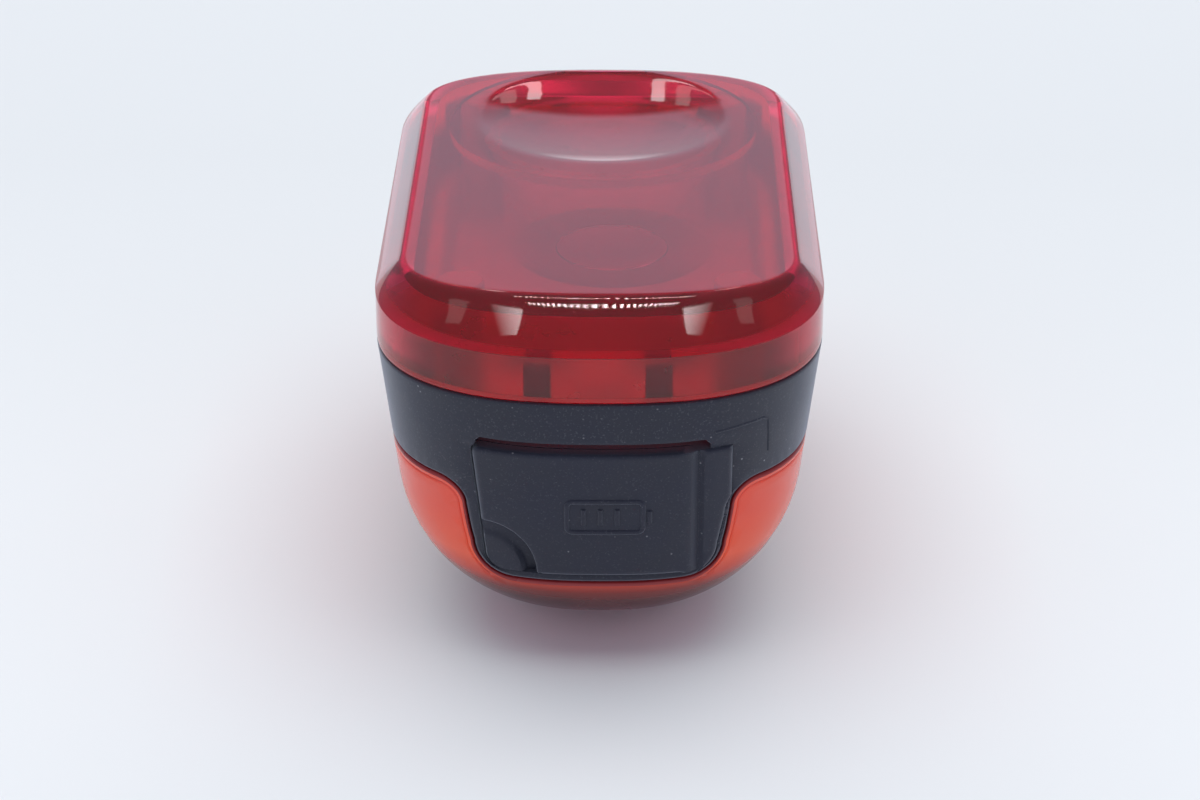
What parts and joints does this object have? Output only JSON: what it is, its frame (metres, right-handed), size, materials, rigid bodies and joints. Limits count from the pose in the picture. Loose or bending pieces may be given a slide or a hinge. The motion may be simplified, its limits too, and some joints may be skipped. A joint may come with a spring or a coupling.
{
  "type": "bicycle rear light",
  "caption": "Compact rechargeable bicycle rear light: clear red lens with a round dish, rubber collar with a charging-port flap, frosted red shell and a slide rail on its back.",
  "frame": {"origin": "middle of the bounding box in X and Y, on the rear face of the mounting rail, where the light lies on a table with its lens up", "axes": "+X across the light, to the right seen from the charging port; +Y along the light from the charging port to the button; +Z out of the lens"},
  "size_m": [0.03, 0.0524, 0.0267],
  "materials": {
    "lens_red": "clear polished red polycarbonate",
    "collar_rubber": "matte moulded rubber",
    "shell_red": "frosted translucent red polycarbonate",
    "rail_black": "fine moulded texture",
    "screw_steel": "bright zinc",
    "flap_rubber": "matte moulded rubber",
    "button_rubber": "matte moulded rubber",
    "switch_black": "moulded",
    "plunger_cream": "moulded",
    "board_white": "white solder resist",
    "led_white": "moulded",
    "led_clear": "clear silicone",
    "reflector_silver": "vacuum metallised",
    "port_steel": "bright plated",
    "battery_foil": "satin foil",
    "battery_tape": "amber tape",
    "foam_grey": "closed-cell foam",
    "lead_red": "smooth insulation",
    "lead_black": "smooth insulation",
    "chip_black": "moulded epoxy",
    "ferrite_grey": "sintered ferrite",
    "chip_tan": "fired body with tinned ends"
  },
  "bodies": {
    "housing": {"lens_cover": "lens_red", "seal_collar": "collar_rubber", "rear_shell": "shell_red", "mounting_rail": "rail_black", "rail_screws": "screw_steel", "case_screws": "screw_steel", "flap_anchor": "flap_rubber", "switch_body": "switch_black", "circuit_board": "board_white", "main_led": "led_white", "led_dome": "led_clear", "second_led": "led_white", "reflector_cup": "reflector_silver", "usb_shell": "port_steel", "usb_tongue": "switch_black", "battery_cell": "battery_foil", "battery_board": "battery_tape", "battery_pad": "foam_grey", "lead_positive": "lead_red", "lead_negative": "lead_black", "driver_chip": "chip_black", "charge_chip": "chip_black", "inductor": "ferrite_grey", "chip_parts": "chip_tan", "charge_led": "led_white"},
    "flap": {"port_flap": "flap_rubber"},
    "button": {"power_button": "button_rubber"},
    "plunger": {"switch_plunger": "plunger_cream"}
  },
  "joints": [
    {"name": "flap_hinge", "type": "hinge", "parent": "housing", "child": "flap", "pos_m": [0.00655, -0.02441, 0.0127], "axis": [0, -0.1311, 0.9914], "range_deg": [0, 110], "stiffness_Nm_per_rad": 0.0005},
    {"name": "button_press", "type": "slide", "parent": "housing", "child": "button", "axis": [0, -1, 0], "range_m": [0, 0.0005], "stiffness_N_per_m": 4000},
    {"name": "plunger_press", "type": "slide", "parent": "housing", "child": "plunger", "axis": [0, -1, 0], "range_m": [0, 0.0005]}
  ],
  "couplings": [
    {"joint": "plunger_press", "follows": "button_press", "ratio": 1}
  ]
}
